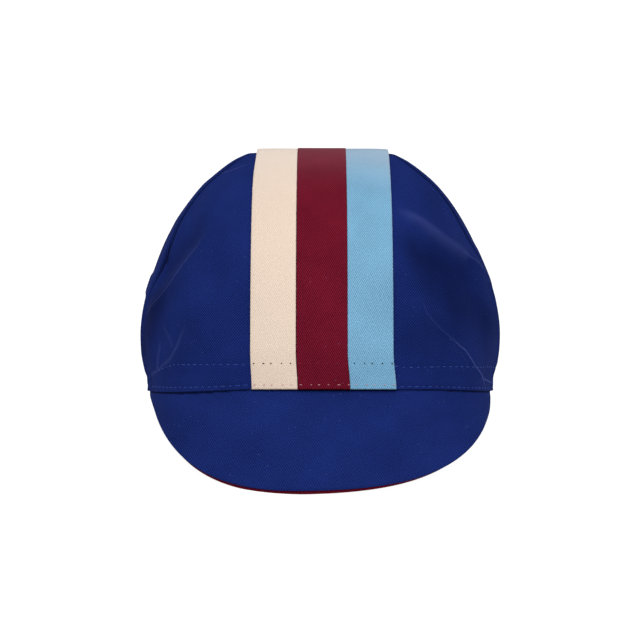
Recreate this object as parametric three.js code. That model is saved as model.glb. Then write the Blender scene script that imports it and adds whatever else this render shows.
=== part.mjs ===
// A four-panel cotton cycling cap with a short drooping peak and three tapes over its middle.
// Sizes are in millimetres. The cap is drawn with its rim in the plane z = 0, x to the right as seen
// from the front, y to the back and z up, and at the end it is tipped so that it stands by itself on
// the back of its rim and the front edge of its peak.
import * as THREE from 'three';

// Crown
const crownWidth = 170; // widest, a third of the way up
const crownHeight = 112.8; // rim to top
const frontReach = 97; // ear line to the front of the rim
const rearReach = 98; // ear line to the fullest point of the back
const cloth = 1.2; // wall of a crown panel
const seamGap = 0.3; // clearance between pieces that are sewn together
const earSeamLeft = 76.5; // degrees from the middle of the front to the seam above the left ear
const earSeamRight = 81; // the same on the right

// Tapes, from left to right as seen from the front
const creamWidth = 20;
const burgundyWidth = 22;
const skyWidth = 20;
const tapeThickness = 1.2;
const tapesShift = 0.8; // how far the tapes sit to the right of the middle
const tapeLift = 0.75; // clearance between a tape and the crown under it
const tapeEndLift = 0.6; // an end of a tape above the edge of the rim
const tapeStep = 8; // length of a step of a tape's mesh along the tape, and one and a half across it

// Sweatband inside the rim
const bandHeight = 12.5;
const bandThickness = 1.2;
const bandLift = 0.9; // its lower edge above the edge of the rim

// Peak
const peakDepth = 55.3; // seam to front edge, along the cloth
const peakSlope = 48; // degrees below the rim's plane
const peakSpan = 75.6; // degrees from the middle to each corner
const peakEnd = 3.5; // depth left at each corner
const peakBow = 2.5; // how far its cloth bulges between seam and edge
const peakSkew = 0.85; // how far its edge dips on the left and rises on the right
const peakCover = 1.6; // thickness of the upper cover
const peakLining = 1.1; // thickness of the underside

// Folds and gathers
const foldDepth = 4; // deepest hollow in the crown
const foldEase = 8; // distance over which folds die out towards the rim, and twice that towards the tapes
const gatherDepth = 1.2; // half the height of a gather
const gatherPitch = 10; // degrees from one gather to the next
const gatherRise = 34; // how far the gathers run up the back
const gatherStart = 105; // degrees from the middle of the front, where the elastic begins
const gatherFade = 7; // degrees on either side of that in which the gathers grow
const gatherClear = 1; // cloth beside the tapes that stays smooth
const gatherEase = 7; // distance beside that over which the gathers grow
const rimSag = 3.6; // how far the back of the rim sags onto what the cap stands on

const halfWidth = crownWidth / 2;
const degree = Math.PI / 180;
const { smoothstep, lerp } = THREE.MathUtils;
const evenly = (from, to, count) => Array.from({ length: count + 1 }, (_, i) => lerp(from, to, i / count));

// Sections of the crown from rim to top: height as a share of the crown's height, and half width and
// reach as shares of half the crown's width, the front reach and the rear reach.
const SECTIONS = [
  { up: 0.0, side: 0.958, front: 1.0, rear: 0.88 },
  { up: 0.045, side: 0.961, front: 1.0, rear: 0.895 },
  { up: 0.1, side: 0.982, front: 1.0, rear: 0.93 },
  { up: 0.165, side: 0.997, front: 0.998, rear: 0.965 },
  { up: 0.27, side: 0.999, front: 0.985, rear: 0.995 },
  { up: 0.394, side: 0.973, front: 0.96, rear: 1.0 },
  { up: 0.52, side: 0.92, front: 0.912, rear: 0.975 },
  { up: 0.646, side: 0.847, front: 0.835, rear: 0.915 },
  { up: 0.76, side: 0.757, front: 0.722, rear: 0.815 },
  { up: 0.86, side: 0.655, front: 0.575, rear: 0.675 },
  { up: 0.935, side: 0.545, front: 0.42, rear: 0.51 },
  { up: 0.98, side: 0.448, front: 0.29, rear: 0.355 },
  { up: 0.996, side: 0.36, front: 0.18, rear: 0.22 },
  { up: 1.0, side: 0.0, front: 0.0, rear: 0.0 },
];
const CHANNELS = ['up', 'side', 'front', 'rear'];

// The curve of the peak's front edge: a higher flatness widens its middle, and the waves say how often
// the skew swings between its two ends.
const PEAK_EDGE = { flatness: 2.55, waves: 1.7 };

// Hollows and folds, each a soft line from one place on the crown to another. Angles are degrees from
// the middle of the front, to the right when positive, and rises are shares of the way from rim to top.
// The width is a share of the crown's height and the depth a share of the deepest hollow.
const FOLDS = [
  { name: 'right hollow', angle: 44, rise: 0.31, toAngle: 58, toRise: 0.25, width: 0.15, depth: 1.0 },
  { name: 'right shoulder', angle: 30, rise: 0.53, toAngle: 70, toRise: 0.35, width: 0.06, depth: -0.35 },
  { name: 'right lower crease', angle: 33, rise: 0.22, toAngle: 62, toRise: 0.05, width: 0.05, depth: -0.25 },
  { name: 'left hollow', angle: -57, rise: 0.38, toAngle: -64, toRise: 0.3, width: 0.12, depth: 0.6 },
  { name: 'left crease', angle: -44, rise: 0.42, toAngle: -66, toRise: 0.24, width: 0.05, depth: -0.25 },
  { name: 'left lower hollow', angle: -50, rise: 0.16, toAngle: -58, toRise: 0.12, width: 0.08, depth: 0.4 },
  { name: 'rear left hollow', angle: -128, rise: 0.42, toAngle: -150, toRise: 0.36, width: 0.14, depth: 0.7 },
  { name: 'rear right hollow', angle: 118, rise: 0.38, toAngle: 142, toRise: 0.44, width: 0.14, depth: 0.8 },
];

// The sections are spaced by the length of cloth between them, so that equal rises are equal lengths.
const sectionRise = [0];
for (let i = 1; i < SECTIONS.length; i++) {
  const up = (SECTIONS[i].up - SECTIONS[i - 1].up) * crownHeight;
  const across = (SECTIONS[i].side - SECTIONS[i - 1].side) * halfWidth;
  sectionRise.push(sectionRise[i - 1] + Math.hypot(up, across));
}
const clothLength = sectionRise[sectionRise.length - 1];
sectionRise.forEach((length, i) => (sectionRise[i] = length / clothLength));

// Slope of a channel at a section, between its neighbours.
function slopeAt(i, channel) {
  const before = Math.max(i - 1, 0);
  const after = Math.min(i + 1, SECTIONS.length - 1);
  return (SECTIONS[after][channel] - SECTIONS[before][channel]) / (sectionRise[after] - sectionRise[before]);
}

// The section at a rise, as a smooth curve through the table.
function sectionAt(rise) {
  let i = 0;
  while (i < SECTIONS.length - 2 && rise > sectionRise[i + 1]) i++;
  const step = sectionRise[i + 1] - sectionRise[i];
  const p = (rise - sectionRise[i]) / step;
  const section = {};
  for (const channel of CHANNELS) {
    section[channel] =
      (2 * p ** 3 - 3 * p ** 2 + 1) * SECTIONS[i][channel] +
      (p ** 3 - 2 * p ** 2 + p) * step * slopeAt(i, channel) +
      (3 * p ** 2 - 2 * p ** 3) * SECTIONS[i + 1][channel] +
      (p ** 3 - p ** 2) * step * slopeAt(i + 1, channel);
  }
  return section;
}

// The place between two others where a test turns from true to false, found by halving.
function turningPoint(low, high, isBelow) {
  for (let i = 0; i < 40; i++) {
    const middle = (low + high) / 2;
    if (isBelow(middle)) low = middle;
    else high = middle;
  }
  return (low + high) / 2;
}

const riseAtHeight = (height) => turningPoint(0, 1, (rise) => sectionAt(rise).up * crownHeight < height);

// The highest rise that still reaches as far to the side as x.
function topRiseAcross(x) {
  const widest = SECTIONS.reduce((best, section, i) => (section.side > SECTIONS[best].side ? i : best), 0);
  return turningPoint(sectionRise[widest], 1, (rise) => sectionAt(rise).side * halfWidth > Math.abs(x));
}

// A section's outline as seen from above, as an ellipse with a longer or shorter reach to the back.
function outlinePoint(angle, section) {
  const forward = Math.cos(angle);
  const reach = forward > 0 ? section.front * frontReach : section.rear * rearReach;
  return new THREE.Vector3(section.side * halfWidth * Math.sin(angle), -reach * forward, 0);
}

// The peak's upper face at a share along the seam, from -1 to 1, and a share from seam to edge.
function peakFace(along, out) {
  const dip = peakSlope * degree;
  const forward = new THREE.Vector3(0, -Math.cos(dip), -Math.sin(dip));
  const upward = new THREE.Vector3(0, -Math.sin(dip), Math.cos(dip));
  const skew = -peakSkew * Math.sin(PEAK_EDGE.waves * Math.PI * along);
  const fullness = 1 - Math.abs(along) ** PEAK_EDGE.flatness;
  const depth = peakEnd + (peakDepth - peakEnd) * fullness + skew;
  const bow = 4 * peakBow * (depth / peakDepth) * out * (1 - out);
  const point = outlinePoint(along * peakSpan * degree, SECTIONS[0]).addScaledVector(forward, depth * out);
  point.addScaledVector(upward, bow).z -= seamGap;
  return point;
}

function peakNormal(along, out) {
  const small = 1e-3;
  const across = peakFace(Math.min(along + small, 1), 0).sub(peakFace(Math.max(along - small, -1), 0));
  const outward = peakFace(along, out - small).sub(peakFace(along, out + small));
  return across.cross(outward).normalize();
}

// The cap stands on the lower edge of its peak and on the back of its rim: the slope of what it
// stands on, against the rim's plane, is the steepest that meets the peak's edge.
const rimBack = rearReach * SECTIONS[0].rear;
const peakColumns = evenly(-1, 1, 28).map((share) => Math.sin((share * Math.PI) / 2));
const standSlope = Math.max(
  ...peakColumns.map((along) => {
    const layers = peakCover + seamGap + peakLining;
    const lip = peakFace(along, 1).addScaledVector(peakNormal(along, 1), -layers);
    return -lip.z / (rimBack - lip.y);
  }),
);

// Height of the rim's edge: flat on the stand at the back, then rising to the rim's plane at the ears.
function rimEdge(y) {
  const clear = (rimBack - y) * standSlope;
  return clear * (smoothstep(clear, rimSag, rimBack * standSlope) - 1);
}

// A point of the smooth crown before folds.
function crownBase(angle, rise) {
  const section = sectionAt(rise);
  const point = outlinePoint(angle, section);
  point.z = section.up * crownHeight + rimEdge(point.y) * (1 - rise) ** 4;
  return point;
}

// The outward direction of the smooth crown, from two short steps along it.
function crownNormal(angle, rise) {
  const small = 1e-4;
  if (rise > 1 - 2 * small) return new THREE.Vector3(0, 0, 1);
  const low = Math.max(rise - small, 0);
  const upward = crownBase(angle, rise + small).sub(crownBase(angle, low));
  const around = crownBase(angle + small, rise).sub(crownBase(angle - small, rise));
  return around.cross(upward).normalize();
}

// Width of the three tapes together, which stay smooth where the cloth beside them is gathered.
const tapesWidth = creamWidth + burgundyWidth + skyWidth + 2 * seamGap;

// How far a place on the crown lies beside the tapes, negative under them.
function besideTapes(angle, rise) {
  return Math.abs(crownBase(angle, rise).x - tapesShift) - tapesWidth / 2;
}

// Height of the elastic's gathers: waves round the back, fading upwards, forwards and at the tapes.
function gathersAt(angle, rise) {
  const turn = Math.abs(angle) / degree;
  const fade = smoothstep(turn, gatherStart - gatherFade, gatherStart + gatherFade);
  const hold = smoothstep(besideTapes(angle, rise), gatherClear, gatherClear + gatherEase);
  const upwards = Math.exp(-((rise * clothLength / gatherRise) ** 2));
  return gatherDepth * Math.cos((2 * Math.PI * (turn - 180)) / gatherPitch) * fade * hold * upwards;
}

// Height of one fold's soft line, in millimetres along the cloth.
function foldAt(fold, angle, rise) {
  const from = new THREE.Vector2(fold.angle * degree * halfWidth, fold.rise * clothLength);
  const to = new THREE.Vector2(fold.toAngle * degree * halfWidth, fold.toRise * clothLength);
  const here = new THREE.Vector2(angle * halfWidth, rise * clothLength);
  const along = to.clone().sub(from);
  const share = THREE.MathUtils.clamp(here.clone().sub(from).dot(along) / along.lengthSq(), 0, 1);
  const away = here.distanceTo(from.addScaledVector(along, share));
  return -fold.depth * foldDepth * Math.exp(-((away / (fold.width * crownHeight)) ** 2));
}

// How far the cloth stands off the smooth crown. The tapes and the rim's edge hold it in place.
function reliefAt(angle, rise) {
  const folds = FOLDS.reduce((sum, fold) => sum + foldAt(fold, angle, rise), 0);
  const beside = smoothstep(besideTapes(angle, rise), 0, 2 * foldEase);
  const above = smoothstep(rise * clothLength, 0, foldEase);
  return folds * beside * above + gathersAt(angle, rise);
}

// A point at a distance outside the cloth's outer face, or inside it when negative.
function crownPoint(angle, rise, outward) {
  const point = crownBase(angle, rise);
  point.addScaledVector(crownNormal(angle, rise), reliefAt(angle, rise) + outward);
  return point;
}

// A closed wall between two faces, each a function of two shares from 0 to 1. Where a wall runs all
// the way round, its first and last columns meet, and otherwise it gets an edge on each side.
function wallGeometry(columns, rows, outer, inner, round = false) {
  const grid = (face) => columns.map((u) => rows.map((v) => face(u, v)));
  const [out, back] = [grid(outer), grid(inner)];
  if (round) [out, back].forEach((side) => (side[side.length - 1] = side[0]));
  const corners = [];
  const triangle = (a, b, c) => {
    const small = 1e-3;
    if (a.distanceTo(b) < small || b.distanceTo(c) < small || c.distanceTo(a) < small) return;
    corners.push(a, b, c);
  };
  const quad = (a, b, c, d) => {
    triangle(a, b, c);
    triangle(a, c, d);
  };
  const [lastColumn, lastRow] = [columns.length - 1, rows.length - 1];
  for (let i = 0; i < lastColumn; i++) {
    for (let j = 0; j < lastRow; j++) {
      quad(out[i][j], out[i + 1][j], out[i + 1][j + 1], out[i][j + 1]);
      quad(back[i][j], back[i][j + 1], back[i + 1][j + 1], back[i + 1][j]);
    }
    quad(back[i][0], back[i + 1][0], out[i + 1][0], out[i][0]);
    quad(out[i][lastRow], out[i + 1][lastRow], back[i + 1][lastRow], back[i][lastRow]);
  }
  for (let j = 0; j < lastRow && !round; j++) {
    quad(back[0][j], out[0][j], out[0][j + 1], back[0][j + 1]);
    quad(out[lastColumn][j], back[lastColumn][j], back[lastColumn][j + 1], out[lastColumn][j + 1]);
  }
  const geometry = new THREE.BufferGeometry().setFromPoints(corners);
  geometry.computeVertexNormals();
  return geometry;
}

function piece(name, color, geometry) {
  const material = new THREE.MeshStandardMaterial({ color, roughness: 0.9, metalness: 0 });
  const mesh = new THREE.Mesh(geometry, material);
  mesh.name = name;
  return mesh;
}

const BLUE = 0x1b2c6e;
const BURGUNDY = 0x6b1527;
const CREAM = 0xe9d5c5;
const SKY = 0x7aabca;

// Columns of the crown's mesh: coarser over the front, finer over the gathered back.
const ELASTIC = { from: gatherStart - gatherFade, to: 180 };
const frontColumns = (seam) => evenly(0, seam, 14);
const elasticColumns = evenly(ELASTIC.from, ELASTIC.to, Math.round((4 * (ELASTIC.to - ELASTIC.from)) / gatherPitch));
const rearColumns = (seam) => [...evenly(seam, ELASTIC.from, 4).slice(0, -1), ...elasticColumns];

// Rows of the crown's mesh: two up to the top of the sweatband, then closer together where the
// crown curves most. The upper rows are shares of the way from the band's top to the crown's top.
const bandTop = riseAtHeight(bandLift + bandHeight);
const BAND_ROWS = evenly(0, bandTop, 2);
const UPPER_ROWS = [0.05, 0.12, 0.19, 0.28, 0.38, 0.48, 0.575, 0.66, 0.74, 0.8, 0.86, 0.92, 1];
const PANEL_ROWS = [...BAND_ROWS, ...UPPER_ROWS.map((share) => lerp(bandTop, 1, share))];

// One of the four panels, between the middle seam and the ear seam, on the right or the left. Each
// panel is moved half a gap away from both of its seams, and its lower edge lies on the rim's line.
function crownPanel(name, right, front) {
  const seam = right > 0 ? earSeamRight : earSeamLeft;
  const turns = front ? frontColumns(seam) : rearColumns(seam);
  const away = new THREE.Vector3(right, front ? -1 : 1, 0).multiplyScalar(seamGap / 2);
  const face = (outward) => (turn, rise) => {
    const point = crownPoint(turn * degree, rise, outward).add(away);
    if (rise === 0) point.z = rimEdge(point.y);
    return point;
  };
  const columns = right > 0 ? turns : turns.map((turn) => -turn).reverse();
  return piece(name, BLUE, wallGeometry(columns, PANEL_ROWS, face(0), face(-cloth)));
}

// The sweatband: a plain ring of tape just inside the rim.
function sweatband() {
  const side = (seam) => [...frontColumns(seam), ...rearColumns(seam).slice(1)];
  const columns = [...side(earSeamRight), ...side(earSeamLeft).reverse().slice(1).map((turn) => 360 - turn)];
  const face = (outward) => (turn, rise) => {
    const angle = (turn > 180 ? turn - 360 : turn) * degree;
    const point = crownPoint(angle, rise, outward);
    if (rise === 0) point.z = rimEdge(point.y) + bandLift;
    return point;
  };
  const outside = -cloth - seamGap;
  const geometry = wallGeometry(columns, BAND_ROWS, face(outside), face(outside - bandThickness), true);
  return piece('sweatband', CREAM, geometry);
}

// The angle on the front at which the crown lies that far to the side.
function angleAcross(x, rise) {
  const half = Math.max(sectionAt(rise).side * halfWidth, Math.abs(x), 1e-6);
  return Math.asin(x / half);
}

// How steeply a point is seen from inside the crown: its pitch about a line from ear to ear.
const pitchOf = (point) => Math.atan2(point.z - crownHeight / 3, -point.y);

// One tape, from the front of the rim over the top to its back, between two places across the crown.
// A station runs from -1 at the front to 1 at the back. Its pitch gives the rise, because the pitch
// grows with the rise, and the back mirrors the front.
function tape(name, color, left, right) {
  const end = tapeEndLift / clothLength;
  const face = (outward) => (x, station) => {
    const foot = pitchOf(crownBase(angleAcross(x, end), end));
    const pitch = lerp(Math.PI / 2, foot, Math.abs(station));
    const isBelow = (rise) => pitchOf(crownBase(angleAcross(x, rise), rise)) < pitch;
    const rise = turningPoint(0, topRiseAcross(x), isBelow);
    const angle = angleAcross(x, rise);
    const turned = station < 0 ? angle : Math.PI * Math.sign(x || 1) - angle;
    const point = crownPoint(turned, rise, outward);
    point.x = x;
    if (Math.abs(station) === 1) point.z = rimEdge(point.y) + tapeEndLift;
    return point;
  };
  const columns = evenly(left, right, Math.ceil((right - left) / tapeStep / 1.5));
  const stations = evenly(-1, 1, 2 * Math.ceil(clothLength / tapeStep));
  const faces = [face(tapeLift + tapeThickness), face(tapeLift)];
  return piece(name, color, wallGeometry(columns, stations, ...faces));
}

function peakLayer(name, color, from, thickness) {
  const face = (depth) => (along, out) => peakFace(along, out).addScaledVector(peakNormal(along, out), -depth);
  return piece(name, color, wallGeometry(peakColumns, evenly(1, 0, 5), face(from), face(from + thickness)));
}

// The tapes lie side by side, from the left.
const creamLeft = tapesShift - tapesWidth / 2;
const burgundyLeft = creamLeft + creamWidth + seamGap;
const skyLeft = burgundyLeft + burgundyWidth + seamGap;

const cap = new THREE.Group();
cap.add(
  crownPanel('crown_front_right', 1, true),
  crownPanel('crown_front_left', -1, true),
  crownPanel('crown_rear_right', 1, false),
  crownPanel('crown_rear_left', -1, false),
  tape('tape_cream', CREAM, creamLeft, creamLeft + creamWidth),
  tape('tape_burgundy', BURGUNDY, burgundyLeft, burgundyLeft + burgundyWidth),
  tape('tape_sky', SKY, skyLeft, skyLeft + skyWidth),
  sweatband(),
  peakLayer('peak_cover', BLUE, 0, peakCover),
  peakLayer('peak_underside', BURGUNDY, peakCover + seamGap, peakLining),
);

// The cap stands on the back of its rim and the front edge of its peak, with the middle of its
// footprint at the origin.
cap.rotation.x = -Math.atan(standSlope);
const standing = new THREE.Group();
standing.add(cap);
const bounds = new THREE.Box3().setFromObject(standing, true);
cap.position.set(0, -(bounds.min.y + bounds.max.y) / 2, -bounds.min.z);

export default standing;
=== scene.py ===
"""A cotton cycling cap: a four-panel crown, three tapes over its middle, a sweatband and a short peak.

Run as a script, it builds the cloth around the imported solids, piece by piece, and a stage to look at it.
The surfaces are worked out in the frame of the cap's rim: x to the right as seen from the front, y to the
back and z up from the rim's plane, in metres. They are then tipped onto the stand as the solids are.
"""
import math
from collections import namedtuple

import bmesh
import bpy
import numpy as np
from bpy.props import FloatProperty, FloatVectorProperty, PointerProperty
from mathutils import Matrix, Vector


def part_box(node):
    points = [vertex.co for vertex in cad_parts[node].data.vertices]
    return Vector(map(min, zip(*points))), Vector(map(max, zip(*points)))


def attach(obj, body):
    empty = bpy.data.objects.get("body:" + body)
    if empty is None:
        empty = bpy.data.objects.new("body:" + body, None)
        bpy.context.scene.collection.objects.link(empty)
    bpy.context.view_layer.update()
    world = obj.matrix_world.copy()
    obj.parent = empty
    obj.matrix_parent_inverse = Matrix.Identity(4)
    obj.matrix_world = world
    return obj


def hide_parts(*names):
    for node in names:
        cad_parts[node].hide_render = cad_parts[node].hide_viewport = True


bl_info = {
    "name": "Cycling Cap",
    "version": (1, 0, 0),
    "blender": (4, 5, 0),
    "location": "View3D > Sidebar > Cap",
    "description": "Makes a cotton cycling cap with woven tapes and a short peak",
    "category": "Add Mesh",
}

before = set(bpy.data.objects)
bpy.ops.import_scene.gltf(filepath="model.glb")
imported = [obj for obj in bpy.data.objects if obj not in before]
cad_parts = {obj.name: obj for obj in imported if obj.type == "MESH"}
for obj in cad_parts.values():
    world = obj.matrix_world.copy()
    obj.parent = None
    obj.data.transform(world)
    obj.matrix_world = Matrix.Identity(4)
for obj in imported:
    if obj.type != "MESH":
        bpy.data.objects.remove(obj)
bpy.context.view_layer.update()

MM = 0.001
DEGREE = math.pi / 180
SEED = 7

# Sections of the crown from rim to top: height as a share of the crown's height, and half width and
# reach as shares of half the crown's width, the front reach and the rear reach.
Section = namedtuple("Section", "up side front rear")
SECTIONS = (
    Section(0.0, 0.958, 1.0, 0.88),
    Section(0.045, 0.961, 1.0, 0.895),
    Section(0.1, 0.982, 1.0, 0.93),
    Section(0.165, 0.997, 0.998, 0.965),
    Section(0.27, 0.999, 0.985, 0.995),
    Section(0.394, 0.973, 0.96, 1.0),
    Section(0.52, 0.92, 0.912, 0.975),
    Section(0.646, 0.847, 0.835, 0.915),
    Section(0.76, 0.757, 0.722, 0.815),
    Section(0.86, 0.655, 0.575, 0.675),
    Section(0.935, 0.545, 0.42, 0.51),
    Section(0.98, 0.448, 0.29, 0.355),
    Section(0.996, 0.36, 0.18, 0.22),
    Section(1.0, 0.0, 0.0, 0.0),
)

# A soft line on the cloth, through places of (angle, rise). Angles are degrees from the middle of the
# front, to the right when positive, and rises are shares of the way from rim to top.
Line = namedtuple("Line", "name places width strength pale", defaults=(0.0,))

# Hollows and broad folds. The width is a share of the crown's height and the strength the depth, as a
# share of the deepest hollow.
FOLDS = (
    Line("right hollow", ((44, 0.31), (58, 0.25)), 0.15, 1.0),
    Line("right hollow, below the shoulder", ((37, 0.4), (58, 0.33)), 0.06, 0.45),
    Line("right shoulder", ((30, 0.53), (70, 0.35)), 0.06, -0.35),
    Line("right lower crease", ((33, 0.22), (62, 0.05)), 0.05, -0.25),
    Line("left hollow", ((-55, 0.42), (-62, 0.33)), 0.11, 0.6),
    Line("left crease", ((-44, 0.42), (-66, 0.24)), 0.05, -0.25),
    Line("left lower hollow", ((-50, 0.16), (-58, 0.12)), 0.08, 0.4),
    Line("rear left hollow", ((-128, 0.42), (-150, 0.36)), 0.14, 0.7),
    Line("rear right hollow", ((118, 0.38), (142, 0.44)), 0.14, 0.8),
)

# Ridges, tucks and swells of the cloth. The width and the strength, which is the height, are in
# millimetres, and a negative height is a groove.
CREASES = (
    Line("right shoulder ridge", ((29, 0.515), (38.5, 0.475), (43, 0.45), (49, 0.42), (55, 0.398),
         (62, 0.375), (73, 0.345)), 2.8, 1.4),
    Line("right lower ridge", ((34, 0.21), (38.5, 0.165), (46, 0.125), (55.5, 0.07), (66, 0.025)),
         2.0, 0.5),
    Line("left corner tuck", ((-54, 0.062), (-60, 0.052), (-68, 0.04), (-76, 0.028)), 1.3, -0.4),
    Line("left side, upper swell", ((-86, 0.68), (-88, 0.58), (-90, 0.48)), 11, 0.65),
    Line("left side, lower swell", ((-81, 0.34), (-83, 0.27)), 6, 0.7),
    Line("right side swell", ((80, 0.43), (83, 0.35), (84, 0.29)), 8, 0.4),
    Line("rear left crease", ((-112, 0.5), (-128, 0.36), (-150, 0.27)), 2.2, 0.8),
    Line("rear right crease", ((104, 0.3), (122, 0.27), (146, 0.31), (160, 0.36)), 2.4, 0.9),
    Line("rear top crease", ((120, 0.62), (138, 0.55), (155, 0.52)), 2.6, 0.7),
)

# Lines pressed into the cloth while it lay folded, thin but for the top of the right shoulder's ridge,
# which is lit from above. Their paleness, as much as the pale share says, is a painted highlight: the
# light that their raised threads and the ridge's top catch. The width and the strength, which is the
# height, are in millimetres.
PRESSED_LINES = (
    Line("right, upper part", ((33, 0.26), (33, 0.233), (33.5, 0.21), (35.5, 0.19), (38.5, 0.165),
         (42, 0.147), (48, 0.116)), 0.3, 0.1, 0.1),
    Line("right, lower part", ((42, 0.147), (46, 0.125), (49.5, 0.11), (52.5, 0.09), (55.5, 0.07),
         (60, 0.052), (65.5, 0.033), (70, 0.0)), 0.3, 0.12, 0.28),
    Line("right corner", ((61, 0.05), (65.5, 0.033), (74, 0.025), (86, 0.018)), 0.35, 0.12, 0.26),
    Line("right shoulder", ((55, 0.398), (62, 0.373), (71, 0.345), (80, 0.3)), 0.5, 0.08, 0.12),
    Line("left", ((-43, 0.445), (-47.5, 0.4), (-52, 0.355), (-57, 0.305), (-62, 0.263), (-66.5, 0.236),
         (-73, 0.21)), 0.3, 0.1, 0.26),
    Line("left top", ((-41, 0.707), (-49, 0.69), (-56, 0.677), (-61, 0.667), (-67, 0.63)),
         0.45, 0.08, 0.14),
    Line("left fan, front", ((-44.5, 0.19), (-48.5, 0.147), (-50, 0.122), (-54, 0.088), (-61.5, 0.06),
         (-73, 0.037)), 0.9, 0.06, 0.09),
    Line("left fan, middle", ((-58, 0.185), (-55, 0.15), (-52.5, 0.115)), 0.9, 0.04, 0.05),
    Line("left fan, rear", ((-60, 0.14), (-62, 0.092), (-63.5, 0.05)), 0.9, 0.04, 0.08),
    Line("right shoulder, top of the ridge", ((29, 0.515), (33.5, 0.495), (38.5, 0.475), (43, 0.45),
         (49, 0.42), (55, 0.398), (62, 0.373)), 2.6, 0.0, 0.11),
)
LINE_SLOTS = 4  # attributes of each panel that hold its pressed lines
FAR_AWAY = 9.0  # distance, in widths of a line, at which nothing of it shows

# Painted shade: places in the hollows and at the sides where the twill is painted darker for the shade
# that falls there, and the painted shade in the slot beside a seam. The width is in millimetres and the
# strength is the share that the middle is darker by.
PAINTED_SHADES = (
    Line("under the right shoulder", ((33, 0.385), (60, 0.335)), 8, 0.3),
    Line("right hollow", ((42, 0.29), (66, 0.2)), 17, 0.42),
    Line("below the right hollow", ((28, 0.15), (44, 0.17)), 10, 0.2),
    Line("left hollow", ((-53, 0.43), (-62, 0.36)), 9, 0.24),
    Line("left side", ((-50, 0.3), (-64, 0.24)), 8, 0.12),
    Line("left edge", ((-62, 0.235), (-74, 0.12)), 10, 0.42),
    Line("slot beside the left ear seam", ((-68.2, 0.42), (-66.6, 0.37)), 1.2, 0.85),
)

# The ear seams: at each rise, their degrees from the middle of the front.
RIGHT_EAR_SEAM = ((0, 80), (0.2, 79.5), (0.3, 76.5), (0.38, 72.3), (0.44, 69), (0.5, 67.8), (0.57, 67.4),
                  (0.61, 66.4), (0.66, 63.4), (0.8, 61), (1, 60))
LEFT_EAR_SEAM = ((0, 76.5), (0.2, 75.5), (0.3, 71.7), (0.36, 69), (0.42, 68.2), (0.5, 68.3), (0.56, 68.4),
                 (0.61, 67.5), (0.66, 64.8), (0.71, 62.6), (0.8, 61), (1, 60))

# The rows of hem stitches, as rises at angles from the middle of the front.
UPPER_STITCHES = ((-180, 0.07), (-76, 0.036), (-63, 0.055), (-52.5, 0.07), (-24, 0.069), (-21, 0.0715),
                  (21, 0.0715), (25, 0.0605), (50, 0.0645), (180, 0.07))
LOWER_STITCHES = ((-180, 0.013), (-24, 0.0135), (21, 0.0135), (26, 0.0085), (66, 0.009), (180, 0.013))

# How far the hem hangs over the seam of the peak, in millimetres at angles from the middle of the front.
HEM_SAG = ((-90, 0.0), (-78, 0.5), (-66, 1.0), (-52, 1.4), (-38, 1.2), (-27, 0.4), (-22, 0.0),
           (22, 0.0), (30, -0.05), (38, 0.0), (52, 0.4), (68, 0.7), (80, 0.4), (90, 0.0))

# The painted shadow on the peak where the hem stands off it: how much of it shows, in millimetres at such
# angles.
HEM_SHADOW = ((-80, 0.1), (-70, 0.4), (-48, 0.4), (-34, 0.15), (-22, 0.05), (22, 0.1), (32, 0.1),
              (44, 0.3), (56, 0.4), (72, 0.4), (80, 0.1))


def linear_colour(hex_colour):
    """An sRGB colour such as #172765 as the linear red, green and blue that Blender mixes."""
    shares = [int(hex_colour[i : i + 2], 16) / 255 for i in (1, 3, 5)]
    return tuple(c / 12.92 if c <= 0.04045 else ((c + 0.055) / 1.055) ** 2.4 for c in shares)


def length(name, value, description):
    """A size property in metres, from a default in millimetres."""
    return FloatProperty(name=name, description=description, default=value * MM, min=0.0, unit="LENGTH")


def colour(name, value, description):
    """A colour property, from an sRGB hex value."""
    return FloatVectorProperty(name=name, description=description, default=linear_colour(value),
                               size=3, min=0.0, max=1.0, subtype="COLOR")


class CapSizes(bpy.types.PropertyGroup):
    """Sizes of the cap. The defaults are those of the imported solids."""

    crown_width: length("Crown width", 170, "Widest part of the crown, a third of the way up")
    crown_height: length("Crown height", 112.8, "From the rim to the top")
    front_reach: length("Front reach", 97, "From the ear line to the front of the rim")
    rear_reach: length("Rear reach", 98, "From the ear line to the fullest point of the back")
    cloth: length("Cloth", 1.2, "Thickness of a crown panel, two layers at its seams")
    cream_width: length("Cream tape", 20, "Width of the cream tape")
    burgundy_width: length("Burgundy tape", 22, "Width of the burgundy tape")
    sky_width: length("Sky blue tape", 20, "Width of the sky blue tape")
    tape_thickness: length("Tape thickness", 1.2, "Thickness of the woven tapes")
    band_height: length("Sweatband", 12.5, "Height of the sweatband")
    peak_depth: length("Peak depth", 55.3, "From the seam to the front edge, along the cloth")
    peak_slope: FloatProperty(name="Peak slope", description="How far the peak points below the rim's plane",
                              default=48 * DEGREE, subtype="ANGLE")
    fold_depth: length("Fold depth", 4, "Depth of the deepest hollow in the crown")
    gather_depth: length("Gather depth", 1.2, "Half the height of a gather at the elastic back")
    stitch_pitch: length("Stitch pitch", 3.9, "From one stitch to the next")
    stitch_length: length("Stitch length", 2.3, "How much of each stitch shows")


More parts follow.
